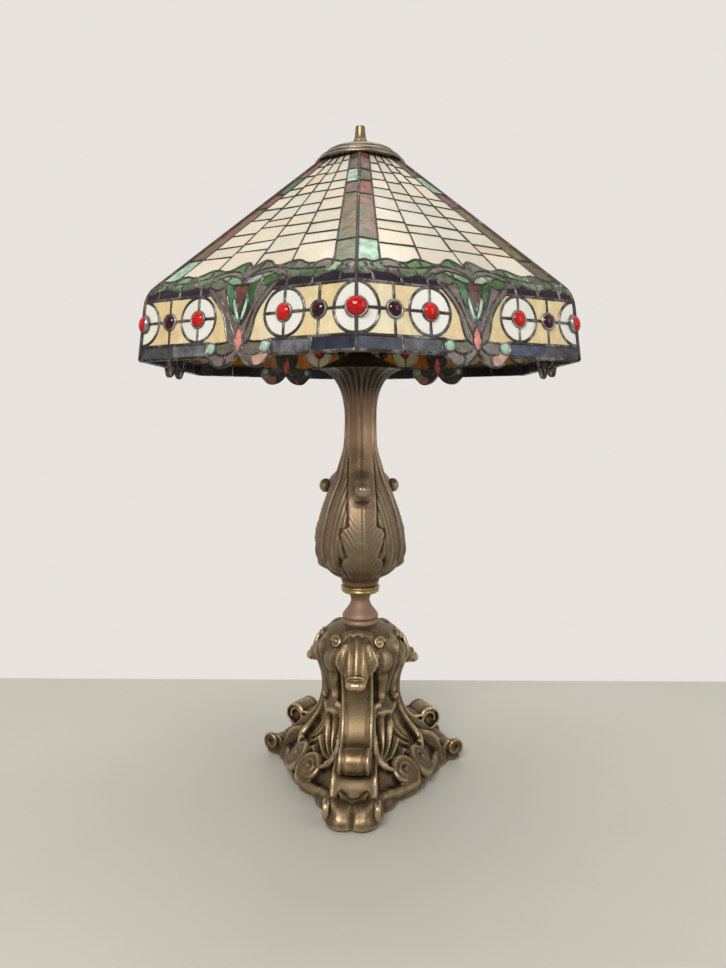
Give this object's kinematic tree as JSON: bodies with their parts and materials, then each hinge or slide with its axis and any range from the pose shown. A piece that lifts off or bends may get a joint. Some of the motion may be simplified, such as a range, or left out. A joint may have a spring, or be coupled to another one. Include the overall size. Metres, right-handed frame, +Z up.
{
  "type": "stained glass table lamp",
  "caption": "Table lamp with a six-sided leaded glass shade set with glass jewels, over a vase-shaped leafy bronze stem on a scrolled three-legged cast base.",
  "frame": {"origin": "on the lamp's vertical axis, at the surface it stands on", "axes": "+Z up along the stem, -Y towards the front, where one corner of the shade and, about 3.5 degrees to its left, one leg of the base point"},
  "size_m": [0.4216, 0.484, 0.717],
  "materials": {
    "amber_glass": "streaked",
    "black_bush": "moulded",
    "brass": "satin",
    "bulb_glass": "frosted",
    "card": "plain",
    "copper_bronze": "matte",
    "cream_glass": "opalescent",
    "dark_bronze": "patinated",
    "felt": "felt",
    "flower_glass": "streaked",
    "garnet_glass": "polished",
    "gold_bronze": "patinated, worn bright on the high spots",
    "leaf_glass": "mottled",
    "mint_glass": "polished",
    "night_glass": "dark streaked",
    "red_glass": "polished",
    "russet_glass": "mottled",
    "slate_glass": "mottled",
    "solder": "darkened solder",
    "steel": "zinc plated",
    "white_glass": "opal"
  },
  "bodies": {
    "stand": {"base_casting": "gold_bronze", "base_cover": "felt", "felt_pads": "felt", "cord_bush": "black_bush", "clamp_nut": "steel", "clamp_washer": "steel", "lamp_pipe": "steel", "spindle_collar": "copper_bronze", "stem_ring": "gold_bronze", "stem_casting": "dark_bronze", "stem_dish": "dark_bronze", "two_light_body": "brass", "holder_arms": "brass", "holder_caps": "brass", "holder_shells": "brass", "holder_liners": "card", "contact_sleeves": "brass", "riser_pipe": "brass", "riser_nut": "brass", "top_stud": "steel"},
    "seat": {"seat_washer": "brass"},
    "shade": {"cream_glass": "cream_glass", "corner_strip_glass": "russet_glass", "leaf_glass": "leaf_glass", "shoulder_glass": "night_glass", "skirt_glass": "amber_glass", "medallion_glass": "white_glass", "rim_glass": "slate_glass", "iris_glass": "flower_glass", "red_jewels": "red_glass", "dark_jewels": "garnet_glass", "mint_jewels": "mint_glass", "corner_cames": "solder", "reinforcing_hoop": "solder", "crown_ring": "brass", "spider": "brass", "shade_cap": "dark_bronze"},
    "finial": {"finial": "brass"},
    "bulb_left": {"bulb_glass_left": "bulb_glass", "bulb_base_left": "brass", "bulb_core_left": "bulb_glass"},
    "bulb_right": {"bulb_glass_right": "bulb_glass", "bulb_base_right": "brass", "bulb_core_right": "bulb_glass"},
    "chain_left": {"pull_chain_left": "brass", "pull_knob_left": "brass"},
    "chain_right": {"pull_chain_right": "brass", "pull_knob_right": "brass"}
  },
  "joints": [
    {"name": "shade_turn", "type": "hinge", "parent": "stand", "child": "seat", "pos_m": [0, 0, 0.6625], "axis": [0, 0, 1], "continuous": true},
    {"name": "shade_lift", "type": "slide", "parent": "seat", "child": "shade", "axis": [0, 0, 1], "range_m": [0, 0.29]},
    {"name": "finial_off", "type": "slide", "parent": "shade", "child": "finial", "axis": [0, 0, 1], "range_m": [0, 0.03]},
    {"name": "bulb_left_turn", "type": "hinge", "parent": "stand", "child": "bulb_left", "pos_m": [-0.045, 0, 0.53], "axis": [0, 0, 1], "continuous": true},
    {"name": "bulb_right_turn", "type": "hinge", "parent": "stand", "child": "bulb_right", "pos_m": [0.045, 0, 0.53], "axis": [0, 0, 1], "continuous": true},
    {"name": "chain_left_pull", "type": "slide", "parent": "stand", "child": "chain_left", "axis": [0, 0, -1], "range_m": [0, 0.004], "stiffness_N_per_m": 400, "springref_m": -0.001},
    {"name": "chain_right_pull", "type": "slide", "parent": "stand", "child": "chain_right", "axis": [0, 0, -1], "range_m": [0, 0.004], "stiffness_N_per_m": 400, "springref_m": -0.001}
  ]
}
